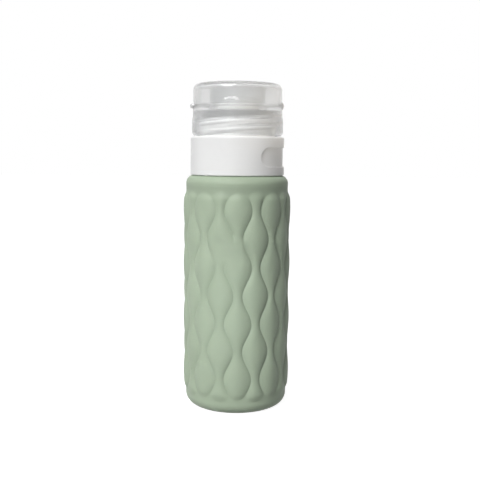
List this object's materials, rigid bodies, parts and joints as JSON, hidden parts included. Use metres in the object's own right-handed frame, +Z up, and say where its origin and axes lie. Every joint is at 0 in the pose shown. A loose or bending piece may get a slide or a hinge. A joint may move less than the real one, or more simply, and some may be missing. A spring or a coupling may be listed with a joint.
{
  "type": "travel squeeze bottle",
  "caption": "Soft silicone travel bottle with waved grip relief, a turning collar with a label window, and a screw cap with a slit valve and a hinged flip lid.",
  "frame": {"origin": "centre of the foot, on the surface that the bottle stands on", "axes": "+Z up along the bottle's axis; the front faces -Y; the lid hinges at +X and its thumb tab points to -X"},
  "size_m": [0.0438, 0.0441, 0.1316],
  "materials": {
    "green_silicone": "soft matt moulded silicone, pale sage green",
    "white_plastic": "smooth satin white",
    "clear_plastic": "natural translucent, glossy, slightly hazy",
    "clear_silicone": "milky translucent silicone"
  },
  "bodies": {
    "bottle": {"silicone_bottle": "green_silicone", "neck_insert": "white_plastic", "clamp_ring": "white_plastic", "label_ring": "white_plastic"},
    "collar": {"collar": "white_plastic"},
    "cap_seal": {"cap_gasket": "clear_silicone"},
    "cap": {"cap_base": "clear_plastic", "slit_valve": "clear_silicone", "valve_retainer": "clear_plastic", "living_hinge": "clear_plastic"},
    "lid": {"lid": "clear_plastic"}
  },
  "joints": [
    {"name": "collar_turn", "type": "hinge", "parent": "bottle", "child": "collar", "pos_m": [0, 0, 0.10275], "axis": [0, 0, 1], "continuous": true},
    {"name": "cap_lift", "type": "slide", "parent": "bottle", "child": "cap_seal", "axis": [0, 0, 1], "range_m": [0, 0.0075]},
    {"name": "cap_turn", "type": "hinge", "parent": "cap_seal", "child": "cap", "pos_m": [0, 0, 0.117], "axis": [0, 0, 1], "range_deg": [0, 450]},
    {"name": "lid_flip", "type": "hinge", "parent": "cap", "child": "lid", "pos_m": [0.01865, 0, 0.12277], "axis": [0, 1, 0], "range_deg": [0, 150], "deforming": ["living_hinge"]}
  ],
  "couplings": [
    {"joint": "cap_lift", "follows": "cap_turn", "m_per_rad": 0.00095493}
  ]
}
